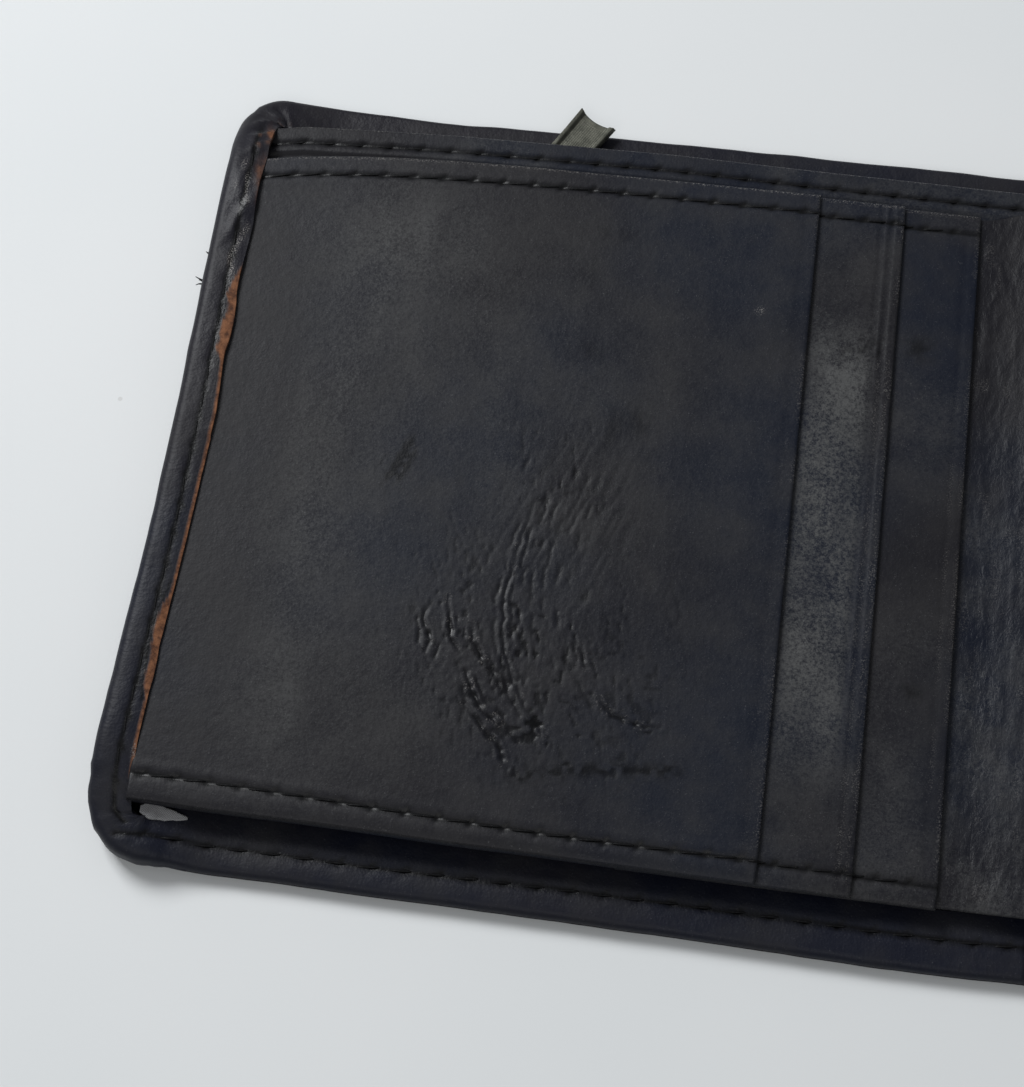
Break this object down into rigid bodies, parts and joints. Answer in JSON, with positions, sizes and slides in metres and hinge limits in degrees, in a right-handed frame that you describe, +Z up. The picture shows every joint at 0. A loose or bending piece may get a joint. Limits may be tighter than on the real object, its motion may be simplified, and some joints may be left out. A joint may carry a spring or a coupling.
{
  "type": "trifold wallet",
  "caption": "Black leather trifold wallet lying open, with card slots, a bill compartment along the top, a zip inside it and a clear identity window.",
  "frame": {"origin": "middle of the centre leaf's outer face, where it lies on the table", "axes": "+X along the open wallet toward the plain leaf, +Y toward the mouth of the bill compartment, +Z up out of the inner faces"},
  "size_m": [0.3395, 0.1078, 0.0074],
  "materials": {
    "outer_leather": "worn black, brown where the surface is rubbed through",
    "inner_leather": "smooth black with dusty bloom and cracks",
    "lining_fabric": "plain woven black",
    "thread": "twisted black",
    "zip_metal": "dull olive grey",
    "zip_coil": "matt black",
    "window_film": "clear, lightly scratched"
  },
  "bodies": {
    "centre_leaf": {"centre_shell": "outer_leather", "centre_lining": "lining_fabric", "centre_divider": "inner_leather", "centre_pocket": "inner_leather", "centre_window": "window_film", "centre_window_frame": "inner_leather", "centre_seam_frame_top": "thread", "centre_seam_frame_bottom": "thread", "centre_seam_divider": "thread", "centre_seam_hem": "thread"},
    "left_spine": {"left_fold_shell": "outer_leather", "left_fold_lining": "lining_fabric", "left_fold_liner": "inner_leather", "left_fold_seam_hem": "thread"},
    "left_leaf": {"left_shell": "outer_leather", "left_lining": "lining_fabric", "left_divider": "inner_leather", "left_pocket_base": "inner_leather", "left_pocket_back": "inner_leather", "left_pocket_middle": "inner_leather", "left_pocket_front": "inner_leather", "left_seam_pocket_top": "thread", "left_seam_pocket_bottom": "thread", "left_seam_divider": "thread", "left_seam_hem": "thread", "left_seam_side": "thread", "zip_pocket_bag": "lining_fabric", "zip_tape_lower": "lining_fabric", "zip_tape_upper": "lining_fabric", "zip_coil_lower": "zip_coil", "zip_coil_upper": "zip_coil", "zip_stop_start": "zip_metal", "zip_stop_end": "zip_metal"},
    "zip_slider": {"zip_slider": "zip_metal"},
    "zip_pull": {"zip_pull": "zip_metal"},
    "right_spine": {"right_fold_shell": "outer_leather", "right_fold_lining": "lining_fabric", "right_fold_liner": "inner_leather", "right_fold_seam_hem": "thread"},
    "right_leaf": {"right_shell": "outer_leather", "right_lining": "lining_fabric", "right_divider": "inner_leather", "right_pocket_base": "inner_leather", "right_pocket_back": "inner_leather", "right_pocket_middle": "inner_leather", "right_pocket_front": "inner_leather", "right_seam_pocket_top": "thread", "right_seam_pocket_bottom": "thread", "right_seam_divider": "thread", "right_seam_hem": "thread", "right_seam_side": "thread"}
  },
  "joints": [
    {"name": "left_fold_inner", "type": "hinge", "parent": "centre_leaf", "child": "left_spine", "pos_m": [-0.054, 0, 0.0005], "axis": [0, 1, 0], "range_deg": [0, 90]},
    {"name": "left_fold_outer", "type": "hinge", "parent": "left_spine", "child": "left_leaf", "pos_m": [-0.065, 0, 0.0005], "axis": [0, 1, 0], "range_deg": [0, 90]},
    {"name": "right_fold_inner", "type": "hinge", "parent": "centre_leaf", "child": "right_spine", "pos_m": [0.054, 0, 0.0005], "axis": [0, -1, 0], "range_deg": [0, 90]},
    {"name": "right_fold_outer", "type": "hinge", "parent": "right_spine", "child": "right_leaf", "pos_m": [0.071, 0, 0.0005], "axis": [0, -1, 0], "range_deg": [0, 90]},
    {"name": "zip_slide", "type": "slide", "parent": "left_leaf", "child": "zip_slider", "axis": [1, 0, 0], "range_m": [-0.0145, 0.039]},
    {"name": "pull_swing", "type": "hinge", "parent": "zip_slider", "child": "zip_pull", "pos_m": [-0.1289, 0.0414, 0.0028], "axis": [0, 0, 1], "range_deg": [-20, 80]}
  ],
  "couplings": [
    {"joint": "left_fold_outer", "follows": "left_fold_inner", "ratio": 1},
    {"joint": "right_fold_outer", "follows": "right_fold_inner", "ratio": 1}
  ]
}
